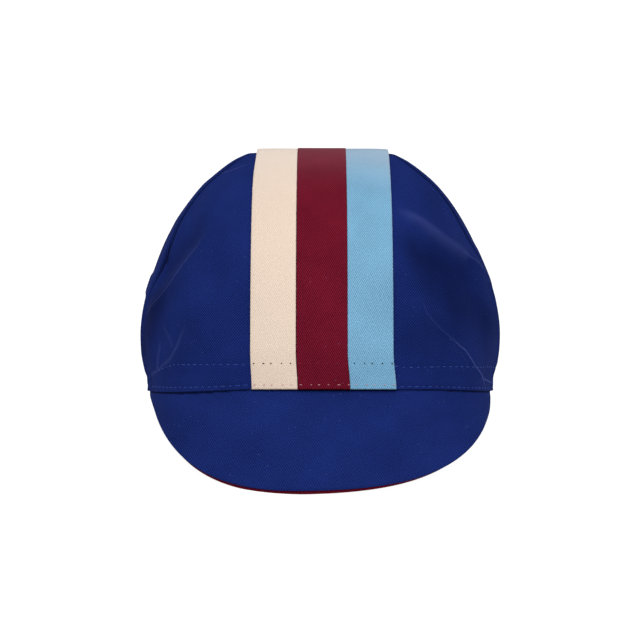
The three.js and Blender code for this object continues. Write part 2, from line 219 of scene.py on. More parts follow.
class CapColours(bpy.types.PropertyGroup):
    """Colours of the cloths, tapes and threads."""

    blue: colour("Blue", "#162560", "Cotton twill of the crown and the peak")
    cream: colour("Cream", "#d7c4b3", "Left tape")
    burgundy: colour("Burgundy", "#621224", "Middle tape")
    sky: colour("Sky blue", "#709fbd", "Right tape")
    underside: colour("Underside", "#560c1b", "Cotton twill under the peak")
    band: colour("Sweatband", "#e6ded3", "Cotton webbing inside the rim")
    thread: colour("Blue thread", "#2d4292", "Hem stitches on the blue cloth")
    # Dark grey stitches for the needle holes: partly the thread, partly painted shade in the holes.
    hole_shade_thread: colour("Dark thread", "#30343f", "Needle holes in the pale tapes")
    pale_thread: colour("Pale thread", "#c9989f", "Stitches of the lower row where it crosses the tapes")
    burgundy_thread: colour("Burgundy thread", "#7c2e3e", "Stitches of the upper row on the burgundy tape")


SEAM_GAP = 0.3 * MM
TAPES_SHIFT = 0.8 * MM  # how far the tapes sit to the right of the middle
TAPES_LEAN = 1.3 * MM  # how far they lean further right at their foot
LEAN_HEIGHTS = (-1 * MM, 17 * MM)  # where the lean is full and where it starts
LEAN_SPREAD = (-30 * MM, 32 * MM)  # places at the side between which it grows from half to all
PEAK_SHIFT = 0.8 * MM  # how far the sides of the peak, past its seam, sit to the right
TAPE_LIFT = 0.75 * MM  # clearance between a tape and the crown under it
TAPE_END_LIFT = 0.6 * MM  # an end of a tape above the edge of the rim
BAND_LIFT = 0.9 * MM  # lower edge of the sweatband above the edge of the rim
BAND_THICKNESS = 1.2 * MM
PEAK_STATIONS = 29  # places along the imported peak
PEAK_SPAN = 75.6 * DEGREE
PEAK_END = 3.5 * MM  # depth left at each corner of the peak
PEAK_BOW = 2.5 * MM  # how far the peak bulges between seam and edge
PEAK_SKEW = 0.85 * MM  # how far its edge dips on the left and rises on the right
PEAK_FLATNESS = 2.55  # a higher flatness widens the middle of the peak's edge
PEAK_WAVES = 1.7  # how often the skew swings between the two ends
PEAK_COVER = 1.6 * MM
PEAK_LINING = 1.1 * MM
FOLD_EASE = 8 * MM  # distance from the tapes and the rim over which folds, seams, hem and lines set in
SEWN_EASE = 3 * MM
HEM_EASE = 1 * MM
LINES_EASE = 2 * MM
GATHER_PITCH = 10 * DEGREE
GATHER_RISE = 34 * MM
GATHER_START = 105 * DEGREE
GATHER_FADE = 7 * DEGREE
GATHER_CLEAR = 1 * MM  # cloth beside the tapes that stays smooth
GATHER_EASE = 7 * MM  # distance beside that over which the gathers grow
RIM_SAG = 3.6 * MM
SEAM_CLOSED = 0.6 * MM  # how far the sewn edge of the peak is drawn up under the hem
SEAM_STRETCH = 4 * MM  # distance from the seam over which it is
SHIFT_STRETCH = (1 * MM, 14 * MM)  # distances from the seam between which the peak's shift sets in
CREST_DROP = 1.25 * MM  # how much the middle of the tapes is pulled flat over the top
CREST_PULL = 0.95 * MM  # how far the outer edge of the cream tape is drawn in over the top
TAPE_BED = 0.3 * TAPE_LIFT  # the underside of a tape above the crown
TAPE_CORNER = 0.35 * MM
TOOTH_PITCH = 0.85 * MM
TOOTH_REACH = 0.3 * MM  # how far a tooth bites into the edge of a tape
TAPE_HEM = 0.3 * MM  # a tape's cut end above the edge of the rim
BURGUNDY_PROUD = 0.3 * MM  # how much prouder the burgundy tape lies than its neighbours
HEM_HANG = 8 * MM  # height over which the hem hangs out
SHADOW_FADE = 0.33 * MM

# Grooves and welts in the cloth: height, distance from the seam, the stitches or the tapes, and width.
SEAM_WELT = (0.4 * MM, 3.4 * MM, 2.0 * MM)
SEAM_GROOVE = (-1.1 * MM, 0, 1.1 * MM)
STITCH_WELT = (0.12 * MM, 2.4 * MM, 1.6 * MM)
STITCH_GROOVE = (-0.25 * MM, 0, 0.8 * MM)
TAPE_GROOVE = (-0.35 * MM, 0.4 * MM, 1.2 * MM)

# The slight waves that soft cloth has everywhere: how many, their shortest and longest, their lowest
# and highest share of the full height, and that height for each millimetre of length.
WAVE_COUNT = 14
WAVE_LENGTHS = (22, 70)
WAVE_SHARES = (0.4, 1.0)
WAVE_STEEPNESS = 0.0022


def smoothstep(value, low, high):
    """0 below low, 1 above high, and a smooth cubic between them."""
    share = np.clip((value - low) / (high - low), 0, 1)
    return share * share * (3 - 2 * share)


def bell(value, centre, width):
    """A bell curve that is 1 at its centre."""
    return np.exp(-(((value - centre) / width) ** 2))


def raised(away, shape):
    """Height of a groove or welt: a bell curve across it, from its height, distance and width."""
    height, distance, width = shape
    return height * bell(away, distance, width)


def listed(places, angle):
    """The value at each angle, on straight lines between the places of a list in degrees."""
    turns, values = np.array(places).T
    return np.interp(angle / DEGREE, turns, values)


def towards_ends(count):
    """Shares from -1 to 1, closer together at both ends: the sine of even steps."""
    return np.sin(np.linspace(-1, 1, count) * math.pi / 2)


def smooth_through(knots, values, at):
    """A smooth cubic through the values at their knots. The slope at a knot is that between its two
    neighbours, and between knots the curve is blended from their values and slopes."""
    values = values.reshape(len(knots), -1)
    inner = (values[2:] - values[:-2]) / (knots[2:] - knots[:-2])[:, None]
    first = (values[1] - values[0]) / (knots[1] - knots[0])
    last = (values[-1] - values[-2]) / (knots[-1] - knots[-2])
    slopes = np.vstack([first, inner, last])
    at = np.clip(at, knots[0], knots[-1])
    i = np.clip(np.searchsorted(knots, at, side="right") - 1, 0, len(knots) - 2)
    step = (knots[i + 1] - knots[i])[..., None]
    p = (at - knots[i])[..., None] / step
    return (
        (2 * p**3 - 3 * p**2 + 1) * values[i]
        + (p**3 - 2 * p**2 + p) * step * slopes[i]
        + (3 * p**2 - 2 * p**3) * values[i + 1]
        + (p**3 - p**2) * step * slopes[i + 1]
    )


def turning_point(is_below, low, high):
    """The places between low and high where a test turns from true to false, by repeated halving."""
    for _ in range(36):
        middle = (low + high) / 2
        below = is_below(middle)
        low = np.where(below, middle, low)
        high = np.where(below, high, middle)
    return (low + high) / 2


def unit(vectors):
    """The same directions with a length of 1."""
    return vectors / np.maximum(np.linalg.norm(vectors, axis=-1, keepdims=True), 1e-12)


class CapForm:
    """The cap's surfaces in the frame of its rim, as functions of whole arrays of places."""

    def __init__(self, sizes):
        self.sizes = sizes
        self.half_width = sizes.crown_width / 2
        self.table = np.array(SECTIONS)
        steps = np.diff(self.table[:, :2] * (sizes.crown_height, self.half_width), axis=0)
        along = np.concatenate([[0], np.cumsum(np.hypot(*steps.T))])
        self.cloth_length = along[-1]
        self.rises = along / along[-1]
        self.tapes_width = sizes.cream_width + sizes.burgundy_width + sizes.sky_width + 2 * SEAM_GAP
        self.rim_back = sizes.rear_reach * SECTIONS[0].rear
        self.stand_slope = self.find_stand_slope()
        self.waves = self.draw_waves()

    def find_stand_slope(self):
        """Slope of the surface that touches the back of the rim and the lower edge of the peak."""
        along = towards_ends(PEAK_STATIONS)
        out = np.ones_like(along)
        peak_thickness = PEAK_COVER + SEAM_GAP + PEAK_LINING
        lip = self.peak_face(along, out) - self.peak_normal(along, out) * peak_thickness
        return np.max(-lip[:, 2] / (self.rim_back - lip[:, 1]))

    def draw_waves(self):
        """Directions, phases and heights of the slight waves that soft cloth has everywhere."""
        draw = np.random.default_rng(SEED)
        lengths = draw.uniform(*WAVE_LENGTHS, WAVE_COUNT) * MM
        turns = draw.uniform(0, math.pi, WAVE_COUNT)
        heights = draw.uniform(*WAVE_SHARES, WAVE_COUNT) * lengths * WAVE_STEEPNESS
        return lengths, turns, draw.uniform(0, 2 * math.pi, WAVE_COUNT), heights

    def section(self, rise):
        """The crown's section at each rise, on a smooth cubic through the table."""
        return smooth_through(self.rises, self.table, rise)

    def outline(self, angle, section):
        """A section's outline from above: an ellipse with a longer or shorter reach to the back."""
        forward = np.cos(angle)
        front = section[..., 2] * self.sizes.front_reach
        reach = np.where(forward > 0, front, section[..., 3] * self.sizes.rear_reach)
        across = section[..., 1] * self.half_width * np.sin(angle)
        return np.stack([across, -reach * forward, np.zeros_like(across)], axis=-1)

    def rim_edge(self, y):
        """Height of the rim's edge: flat on the stand at the back, rising to the rim's plane at the ears."""
        clear = (self.rim_back - y) * self.stand_slope
        return clear * (smoothstep(clear, RIM_SAG, self.rim_back * self.stand_slope) - 1)

    def base(self, angle, rise):
        """The smooth crown: the outline at each rise, lifted to its height and bent down to the rim."""
        angle, rise = np.broadcast_arrays(angle, rise)
        section = self.section(rise)
        point = self.outline(angle, section)
        point[..., 2] = section[..., 0] * self.sizes.crown_height
        point[..., 2] += self.rim_edge(point[..., 1]) * (1 - np.clip(rise, 0, 1)) ** 4
        return point

    def normal(self, angle, rise):
        """Outward direction of the smooth crown: across one short step around it and one up it."""
        angle, rise = np.broadcast_arrays(angle, rise)
        small = 1e-4
        upward = self.base(angle, rise + small) - self.base(angle, np.maximum(rise - small, 0))
        around = self.base(angle + small, rise) - self.base(angle - small, rise)
        return np.where((rise > 1 - 2 * small)[..., None], (0.0, 0.0, 1.0), unit(np.cross(around, upward)))

    def beside_tapes(self, angle, rise):
        """How far a place lies beside the tapes, negative under them."""
        return np.abs(self.base(angle, rise)[..., 0] - TAPES_SHIFT) - self.tapes_width / 2

    def unrolled(self, angle, rise):
        """A place on the flat cloth: its angle times half the width, and its rise times the length."""
        angle, rise = np.broadcast_arrays(angle, rise)
        return np.stack([angle * self.half_width, rise * self.cloth_length], axis=-1)

    def near_line(self, places, angle, rise):
        """Distance on the unrolled cloth to a line of places, positive on the line's left, and the share of
        the line that a place is beside."""
        corners = self.unrolled(*(np.array(places) * (DEGREE, 1)).T)
        here = self.unrolled(angle, rise)
        passed = np.concatenate([[0], np.cumsum(np.linalg.norm(np.diff(corners, axis=0), axis=1))])
        distance = np.full(here.shape[:-1], np.inf)
        share = np.zeros_like(distance)
        for i in range(len(corners) - 1):
            step = corners[i + 1] - corners[i]
            off = here - corners[i]
            on = np.clip((off @ step) / (step @ step), 0, 1)
            side = np.where(step[0] * off[..., 1] > step[1] * off[..., 0], 1, -1)
            away = np.linalg.norm(off - on[..., None] * step, axis=-1) * side
            closer = np.abs(away) < np.abs(distance)
            share = np.where(closer, (passed[i] + on * np.linalg.norm(step)) / passed[-1], share)
            distance = np.where(closer, away, distance)
        return distance, share

    def across(self, line, unit_width, angle, rise):
        """Strength of a line at each place, as a bell curve across it, and the share of it passed there."""
        distance, share = self.near_line(line.places, angle, rise)
        return line.strength * bell(distance, 0, line.width * unit_width), share

    def folds(self, angle, rise):
        """Height of the broad hollows and folds, as shares of the deepest."""
        hollows = [self.across(fold, self.sizes.crown_height, angle, rise)[0] for fold in FOLDS]
        return -self.sizes.fold_depth * sum(hollows)

    def creases(self, angle, rise):
        """Height of the ridges, tucks and swells, each fading over a fifth of its line at both ends."""
        total = 0.0
        for crease in CREASES:
            height, share = self.across(crease, MM, angle, rise)
            total = total + height * MM * smoothstep(share, 0, 0.2) * smoothstep(1 - share, 0, 0.2)
        return total

    def pressed_lines(self, side, angle, rise):
        """The pressed lines of one side, shared out over the slots: at each place, for the slot's nearest
        line, the distance in widths, the pale share and the height, the last two fading at its ends."""
        angle, rise = np.broadcast_arrays(angle, rise)
        slots = [np.full((*angle.shape, 3), (FAR_AWAY, 0.0, 0.0)) for _ in range(LINE_SLOTS)]
        free = smoothstep(self.beside_tapes(angle, rise), 0, LINES_EASE)
        lines = [line for line in PRESSED_LINES if line.places[0][0] * side > 0]
        for k, line in enumerate(lines):
            distance, share = self.near_line(line.places, angle, rise)
            widths = distance / (line.width * MM)
            taper = smoothstep(share, 0, 0.25) * smoothstep(1 - share, 0, 0.12) * free
            values = np.stack([widths, line.pale * taper, line.strength * MM * taper], axis=-1)
            slot = slots[k % LINE_SLOTS]
            closer = np.abs(widths) < np.abs(slot[..., 0])
            slot[closer] = values[closer]
        return {f"line_{k}": slot for k, slot in enumerate(slots)}

    def gathers(self, angle, rise):
        """Height of the elastic's gathers: waves round the back, fading up, forwards and at the tapes."""
        turn = np.abs(angle)
        fade = smoothstep(turn, GATHER_START - GATHER_FADE, GATHER_START + GATHER_FADE)
        hold = smoothstep(self.beside_tapes(angle, rise), GATHER_CLEAR, GATHER_CLEAR + GATHER_EASE)
        wave = np.cos(2 * math.pi * (turn - math.pi) / GATHER_PITCH)
        return self.sizes.gather_depth * wave * fade * hold * bell(rise * self.cloth_length, 0, GATHER_RISE)

    def seam_angle(self, side, rise):
        """Angle of an ear seam at each rise, on a smooth cubic through its list."""
        rises, turns = np.array(RIGHT_EAR_SEAM if side > 0 else LEFT_EAR_SEAM, float).T
        return smooth_through(rises, turns, np.asarray(rise, float))[..., 0] * DEGREE

    def beside_seam(self, angle, rise):
        """Distance on the cloth to the ear seam of the same side."""
        seam = np.where(angle > 0, self.seam_angle(1, rise), self.seam_angle(-1, rise))
        reach = np.linalg.norm(self.base(angle, rise)[..., :2], axis=-1)
        return np.abs(np.abs(angle) - seam) * reach

    def ear_seams(self, angle, rise):
        """Height beside the ear seams: a groove with a low welt of folded cloth on both sides."""
        away = self.beside_seam(angle, rise)
        return raised(away, SEAM_WELT) + raised(away, SEAM_GROOVE)

    def painted_shade_share(self, angle, rise):
        """How much darker the cloth is painted where shade falls, in the hollows, at the sides and in the slot
        beside the left ear seam: painted shade. Each line takes its share of the light that the others leave."""
        return 1 - math.prod(1 - self.across(shaded_line, MM, angle, rise)[0] for shaded_line in PAINTED_SHADES)

    def hem(self, angle, rise):
        """Height at the hem: stitches pull two grooves into the cloth, deepest at each stitch."""
        total = 0.0
        pull = 0.7 + 0.3 * np.cos(2 * math.pi * angle * self.half_width / self.sizes.stitch_pitch)
        for row in (UPPER_STITCHES, LOWER_STITCHES):
            away = (rise - listed(row, angle)) * self.cloth_length
            total = total + pull * raised(away, STITCH_GROOVE) + raised(away, STITCH_WELT)
        return total

    def hem_sag(self, angle, rise):
        """How the hem hangs over the peak's seam: down by its list, and outwards by half of that, fading
        over its lowest stretch."""
        low = 1 - smoothstep(rise * self.cloth_length, 0, HEM_HANG)
        drop = (listed(HEM_SAG, angle) * MM * low)[..., None]
        return self.normal(angle, rise) * np.abs(drop) / 2 - drop * (0.0, 0.0, 1.0)

    def under_hem(self, angle, height):
        """How much painted shadow the peak gets right under the hem, from the height of a place on it: fully
        where the hem hides it and over the stretch in its list, and fading over the next third of a millimetre."""
        below = -height - listed(HEM_SAG, angle) * MM
        dark = listed(HEM_SHADOW, angle) * MM
        return 1 - smoothstep(below, dark, dark + SHADOW_FADE)

    def undulation(self, angle, rise):
        """Height of the slight waves: a sum of long sines in seeded directions across the unrolled cloth."""
        here = self.unrolled(angle, rise)
        total = 0.0
        for wave_length, turn, phase, height in zip(*self.waves):
            along = here[..., 0] * math.cos(turn) + here[..., 1] * math.sin(turn)
            total = total + height * np.sin(2 * math.pi * along / wave_length + phase)
        return total

    def relief(self, angle, rise):
        """How far the cloth stands off the smooth crown: folds, creases, seams, stitches and gathers.
        The tapes and the rim's edge hold the folds in place."""
        angle, rise = np.broadcast_arrays(angle, rise)
        beside = self.beside_tapes(angle, rise)
        eased = smoothstep(beside, 0, 2 * FOLD_EASE)
        above = smoothstep(rise * self.cloth_length, 0, FOLD_EASE)
        free = smoothstep(beside, 0, SEWN_EASE)
        low = smoothstep(rise * self.cloth_length, 0, HEM_EASE)
        soft = self.folds(angle, rise) * eased * above + self.gathers(angle, rise)
        sharp = self.creases(angle, rise) * free * low + self.undulation(angle, rise) * eased * above
        sewn = self.ear_seams(angle, rise) * free + self.hem(angle, rise) * free * low
        held = raised(beside, TAPE_GROOVE) * (1 - smoothstep(rise, 0.6, 0.75))
        return soft + sharp + sewn + held

    def crown(self, angle, rise, outward=0.0, sags=True):
        """The crown's cloth: the smooth crown moved outwards by its relief and by a distance of its own,
        and at the hem by its sag."""
        angle, rise = np.broadcast_arrays(angle, rise)
        lift = outward + self.relief(angle, rise)
        point = self.base(angle, rise) + self.normal(angle, rise) * np.asarray(lift)[..., None]
        return point + self.hem_sag(angle, rise) if sags else point

    def peak_depth_at(self, along):
        """Depth of the peak at a share along its seam: full in the middle and falling to its corners."""
        fullness = 1 - np.minimum(np.abs(along), 1) ** PEAK_FLATNESS
        skew = -PEAK_SKEW * np.sin(PEAK_WAVES * math.pi * along)
        return PEAK_END + (self.sizes.peak_depth - PEAK_END) * fullness + skew

    def peak_face(self, along, out):
        """The peak's upper face: the rim's outline, moved down its slope with a slight outward bow."""
        dip = self.sizes.peak_slope
        depth = self.peak_depth_at(along)
        bow = 4 * PEAK_BOW * (depth / self.sizes.peak_depth) * out * (1 - out)
        point = self.outline(along * PEAK_SPAN, self.section(np.zeros_like(along)))
        point = point + (depth * out)[..., None] * (0, -math.cos(dip), -math.sin(dip))
        point = point + bow[..., None] * (0, -math.sin(dip), math.cos(dip))
        return point - (0, 0, SEAM_GAP)

    def peak_normal(self, along, out):
        """Outward direction of the peak's upper face."""
        small = 1e-3
        first = np.zeros_like(out)
        ahead = self.peak_face(np.minimum(along + small, 1), first)
        across = ahead - self.peak_face(np.maximum(along - small, -1), first)
        outward = self.peak_face(along, out - small) - self.peak_face(along, out + small)
        return unit(np.cross(across, outward))

    def tape_place(self, x, station):
        """Angle and rise of a place on a tape. A station runs from -1 at the front of the rim to 1 at its
        back, and its pitch, seen from inside the crown about a line from ear to ear, gives the rise."""
        x, station = np.broadcast_arrays(x, station)
        end = np.full(x.shape, TAPE_END_LIFT / self.cloth_length)
        foot = self.pitch(self.base(self.angle_across(x, end), end))
        pitch = math.pi / 2 + (foot - math.pi / 2) * np.abs(station)
        widest = self.rises[np.argmax(self.table[:, 1])]
        top = turning_point(lambda rise: self.section(rise)[..., 1] * self.half_width > np.abs(x),
                            np.full(x.shape, widest), np.ones(x.shape))
        rise = turning_point(lambda rise: self.pitch(self.base(self.angle_across(x, rise), rise)) < pitch,
                             np.zeros(x.shape), top)
        angle = self.angle_across(x, rise)
        rear = np.where(x < 0, -math.pi, math.pi) - angle
        return np.where(station < 0, angle, rear), rise

    def angle_across(self, x, rise):
        """The angle on the front at which the crown lies that far to the side."""
        half = np.maximum(self.section(rise)[..., 1] * self.half_width, np.maximum(np.abs(x), 1e-9))
        return np.arcsin(x / half)

    def pitch(self, point):
        """How steeply a point is seen from inside the crown."""
        return np.arctan2(point[..., 2] - self.sizes.crown_height / 3, -point[..., 1])

    def stand(self, points):
        """Turns points from the rim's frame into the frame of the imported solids, which stand on the floor."""
        turn = math.atan(self.stand_slope)
        x, y, z = np.moveaxis(points, -1, 0)
        back = y * math.cos(turn) + z * math.sin(turn) + self.stand_shift()
        up = -y * math.sin(turn) + z * math.cos(turn) + self.rim_back * math.sin(turn)
        return np.stack([x, back, up], axis=-1)

    def stand_shift(self):
        """How far the cap is moved back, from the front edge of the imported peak."""
        turn = math.atan(self.stand_slope)
        along = towards_ends(PEAK_STATIONS)
        edge = self.peak_face(along, np.ones_like(along))
        front = edge[:, 1] * math.cos(turn) + edge[:, 2] * math.sin(turn)
        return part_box("peak_cover")[0].y - front.min()


def cap_settings():
    """The sizes and colours of the scene's cap."""
    scene = bpy.context.scene
    return scene.cap_sizes, scene.cap_colours


def cap_form():
    """The cap's form at those sizes, and its colours."""
    sizes, colours = cap_settings()
    return CapForm(sizes), colours


def join_faces(stations, around, ring):
    """Faces of a solid made of closed loops, one at each station: quads between neighbouring loops, and
    strips across the first and the last loop, unless the loops run round and meet."""
    first = np.arange(stations - 1)[:, None] * around + np.arange(around)[None, :]
    after = np.roll(first.reshape(stations - 1, around), -1, axis=1)
    sides = np.stack([first, after, after + around, first + around], axis=-1).reshape(-1, 4)
    if ring:
        return sides
    low = np.arange(around // 2 - 1)
    high = around - 1 - low
    start = np.stack([low, high, high - 1, low + 1], axis=-1)
    end = start[:, ::-1] + (stations - 1) * around
    return np.concatenate([sides, start, end])


def new_piece(name, points, faces, uv, material, attributes):
    """Makes one mesh object from arrays: its place is in its mesh, and its poles and seams are merged."""
    mesh = bpy.data.meshes.new(name)
    mesh.from_pydata(points.tolist(), [], faces.tolist())
    mesh.uv_layers.new(name="cloth")
    mesh.uv_layers["cloth"].data.foreach_set("uv", np.asarray(uv, np.float32)[faces.ravel()].ravel())
    for key, values in attributes.items():
        mesh.attributes.new(key, "FLOAT_VECTOR", "POINT")
        mesh.attributes[key].data.foreach_set("vector", np.asarray(values, np.float32).ravel())
    work = bmesh.new()
    work.from_mesh(mesh)
    bmesh.ops.remove_doubles(work, verts=work.verts, dist=0.002 * MM)
    bmesh.ops.recalc_face_normals(work, faces=work.faces)
    work.to_mesh(mesh)
    work.free()
    mesh.polygons.foreach_set("use_smooth", np.ones(len(mesh.polygons), bool))
    mesh.update()
    piece = bpy.data.objects.new(name, mesh)
    bpy.context.scene.collection.objects.link(piece)
    mesh.materials.append(material)
    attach(piece, "root")
    return piece


def loop_solid(form, name, grid, uv, material, ring=False, shade=None, attributes=None):
    """A closed solid from a grid of loops, stood up on the floor, which soft cloth doesn't sink into. The
    grid is stations by loop by x, y, z, and the shade is kept as the x of an attribute."""
    stations, around = grid.shape[:2]
    faces = join_faces(stations, around, ring)
    points = form.stand(grid).reshape(-1, 3)
    points[:, 2] = np.maximum(points[:, 2], 0.0)
    attributes = dict(attributes or {})
    if shade is not None:
        attributes["shade"] = shade[..., None] * (1.0, 0.0, 0.0)
    return new_piece(name, points, faces, uv.reshape(-1, 2), material, attributes)


def wall_profile(rows, thickness, edge, steps=4):
    """One loop through a wall, as places and depths: a round edge, the outer face, then back inside.
    Rows run from the round edge to the far end, and edge is how much of a row's unit the rounding takes."""
    turn = np.linspace(0, math.pi / 2, steps + 1)[:-1]
    places = np.concatenate([edge * (1 - np.cos(turn)), rows])
    depths = np.concatenate([thickness / 2 * (np.sin(turn) - 1), np.zeros(len(rows))])
    return (
        np.concatenate([places, places[::-1]]),
        np.concatenate([depths, (-thickness - depths)[::-1]]),
    )


def arc_lengths(points, axis):
    """Distance from the first point along one axis of a grid."""
    steps = np.linalg.norm(np.diff(points, axis=axis), axis=-1)
    return np.insert(np.cumsum(steps, axis=axis), 0, 0, axis=axis)


# Materials

RIDGE_WANDER = 9 * MM  # width of the patches in which the twill's ridges wander
RIDGE_SWAY = 7.0  # how far they wander, in radians of their waves
GRAIN_WIDTH = 0.55 * MM
PATCH_WIDTH = 26 * MM
LINT_CELL = 3.1 * MM
SPECK = 0.055  # radius of a speck, as a share of its cell
LINT_AND_HIGHLIGHT_BLUE = (0.3, 0.36, 0.9)  # what lint and the pressed lines' painted highlights turn to
PLY_PITCH = 0.5 * MM


def add_node(tree, kind, inputs=None, **settings):
    """Adds a node, sets what it is told, and gives each input a value or another node's output."""
    node = tree.nodes.new(kind)
    for name, value in settings.items():
        setattr(node, name, value)
    for name, value in (inputs or {}).items():
        if isinstance(value, bpy.types.NodeSocket):
            tree.links.new(value, node.inputs[name])
        else:
            node.inputs[name].default_value = value
    return node


def reckoned(tree, operation, *values):
    """The result of a Math node on one to three values."""
    return add_node(tree, "ShaderNodeMath", dict(enumerate(values)), operation=operation).outputs[0]


def mixed(tree, share, first, second):
    """The colour that is a share of the way from the first to the second."""
    inputs = {"Fac": share, "Color1": first, "Color2": second}
    return add_node(tree, "ShaderNodeMixRGB", inputs).outputs["Color"]


def noise(tree, place, width, detail, roughness=0.5):
    """Noise with patches of the given width, halved as often as the detail says."""
    inputs = {"Vector": place, "Scale": 1 / width, "Detail": detail, "Roughness": roughness}
    return add_node(tree, "ShaderNodeTexNoise", inputs).outputs["Fac"]


def parts(tree, vector):
    """The three parts of a vector."""
    return add_node(tree, "ShaderNodeSeparateXYZ", {"Vector": vector}).outputs


def painted(tree, name):
    """The three parts of an attribute of the mesh."""
    return parts(tree, add_node(tree, "ShaderNodeAttribute", attribute_name=name).outputs["Vector"])


def turns_along(tree, place, turns):
    """The phase of waves over a place: its product with how many waves there are along x and along y."""
    phases = tuple(2 * math.pi * turn for turn in turns)
    inputs = {0: place, 1: (*phases, 0.0)}
    return add_node(tree, "ShaderNodeVectorMath", inputs, operation="DOT_PRODUCT").outputs["Value"]


def new_material(name):
    """An empty node material, its tree and its texture coordinates."""
    material = bpy.data.materials.new(name)
    material.use_nodes = True
    tree = material.node_tree
    tree.nodes.clear()
    return material, tree, add_node(tree, "ShaderNodeTexCoord").outputs


def add_surface(tree, inputs):
    """A Principled surface with the given inputs, as the material's output."""
    shader = add_node(tree, "ShaderNodeBsdfPrincipled", inputs)
    add_node(tree, "ShaderNodeOutputMaterial", {"Surface": shader.outputs[0]})


def scaled(rgb, factor):
    """A colour made lighter or darker, with the alpha that a socket wants."""
    return (*(min(1.0, c * factor) for c in rgb), 1.0)


def blended(rgb, other, share):
    """A colour part of the way to another."""
    return (*(a + (b - a) * share for a, b in zip(rgb, other)), 1.0)


def pressed_shares(tree):
    """How pale, as a painted highlight, and how high the pressed lines are: at each, a bell across it,
    exp(-d * d), of the distance d in widths, times the pale share or the height. Its attribute holds the three."""
    pale = height = 0.0
    for k in range(LINE_SLOTS):
        line = painted(tree, f"line_{k}")
        square = reckoned(tree, "MULTIPLY", line["X"], line["X"])
        share = reckoned(tree, "EXPONENT", reckoned(tree, "MULTIPLY", square, -1.0))
        pale = reckoned(tree, "MULTIPLY_ADD", share, line["Y"], pale)
        height = reckoned(tree, "MULTIPLY_ADD", share, line["Z"], height)
    return pale, height


def woven_material(name, rgb, pitch, lean, ridge, weave, mottle, sheen, film=(1.0, 1.0, 1.0), lint=0.0,
                   shade=None, creased=False):
    """Woven cotton, matt and slightly hairy. The weave's diagonal ridges run over the cloth's own UV map.

    The pitch is from ridge to ridge across them, lean their direction in degrees from the width of the
    cloth and ridge the height of their bump. Weave is how much paler a ridge is than the cloth's mean,
    mottle how unevenly the threads took the dye, film the colour of the hairs' sheen and lint how much
    its specks show. Shade is the colour of the painted light that the cloth turns to as far as its shade
    attribute says: painted shade and painted shadow on the twill, and a painted sheen over the top of
    the tapes. Creased cloth has pressed lines, painted paler as painted highlights.
    """
    material, tree, places = new_material(name)
    place = places["UV"]
    turn = lean * DEGREE
    phase = turns_along(tree, place, (math.sin(turn) / pitch, -math.cos(turn) / pitch))
    sway = reckoned(tree, "MULTIPLY_ADD", noise(tree, place, RIDGE_WANDER, 2.0), RIDGE_SWAY, phase)
    ridges = reckoned(tree, "SINE", sway)

    # The level is the mean with its ridges, a grain of threads half a millimetre wide, and broad patches.
    fine = noise(tree, place, GRAIN_WIDTH, 2.0, 0.6)
    broad = noise(tree, place, PATCH_WIDTH, 3.0)
    spread = min(0.6, 1 / max(rgb) - 1)  # of the darkest and the palest threads, which stay within white
    level = 0.5 - 0.75 * mottle / (2 * spread)
    for part, amount in ((ridges, weave), (fine, mottle), (broad, 0.5 * mottle)):
        level = reckoned(tree, "MULTIPLY_ADD", part, amount / (2 * spread), level)
    tone = mixed(tree, level, scaled(rgb, 1 - spread), scaled(rgb, 1 + spread))

    # Lint: faint specks a third of a millimetre wide, in two of every five cells of 3 mm.
    cells = add_node(tree, "ShaderNodeTexVoronoi", {"Vector": place, "Scale": 1 / LINT_CELL}).outputs
    speck = reckoned(tree, "LESS_THAN", cells["Distance"], SPECK)
    chosen = reckoned(tree, "GREATER_THAN", parts(tree, cells["Color"])["X"], 0.6)
    shown = reckoned(tree, "MULTIPLY", speck, reckoned(tree, "MULTIPLY", chosen, lint))
    # The colour of the lint specks, and of the pressed lines' painted highlights.
    pale = blended(rgb, LINT_AND_HIGHLIGHT_BLUE, 0.4)
    tone = mixed(tree, shown, tone, pale)

    grain = reckoned(tree, "MULTIPLY_ADD", fine, 1.1, ridges)
    height = reckoned(tree, "MULTIPLY", grain, ridge)
    # Creased cloth: the pressed lines' bumps, and their paler tone, a painted highlight.
    if creased:
        share, rise = pressed_shares(tree)
        tone = mixed(tree, share, tone, pale)
        height = reckoned(tree, "ADD", height, rise)
    # Painted light: the shade attribute mixes in the painted shade and shadow of the twill, and the painted
    # sheen of the tapes.
    if shade:
        tone = mixed(tree, painted(tree, "shade")["X"], tone, shade)
    bump = add_node(tree, "ShaderNodeBump", {"Strength": 1.0, "Distance": 1.0, "Height": height})
    add_surface(tree, {
        "Base Color": tone, "Roughness": 0.9, "IOR": 1.45, "Specular IOR Level": 0.01,
        "Sheen Weight": sheen, "Sheen Roughness": 0.3, "Sheen Tint": (*film, 1.0),
        "Normal": bump.outputs["Normal"],
    })
    return material


def cotton_twill(name, rgb, lean=45, weave=0.45, creased=False):
    """Cotton twill of the crown and the peak. Its ridges show as fine diagonals under the hand. They are
    drawn 0.94 mm apart, about twice as coarse as woven, so that they still show at this size."""
    # Its shade colour, the twill at 8 % of its brightness, is for painted shade and painted shadow.
    return woven_material(name, rgb, pitch=0.94 * MM, lean=lean, ridge=0.05 * MM, weave=weave, mottle=1.3,
                          sheen=0.01, lint=0.5, shade=scaled(rgb, 0.08), creased=creased)


def woven_tape(name, rgb, ridge, weave, mottle, sheen, film, lint=0.0):
    """Cotton twill tape, closer and smoother than the cloth under it, with a ridge each 0.8 mm. Its fine
    hairs catch the light, and where it runs over the top its colour is painted paler, towards the film's
    colour, as a painted sheen from the light above."""
    return woven_material(name, rgb, pitch=0.78 * MM, lean=118, ridge=ridge * MM, weave=weave, mottle=mottle,
                          sheen=sheen, film=film, lint=lint, shade=scaled(film, 0.78))


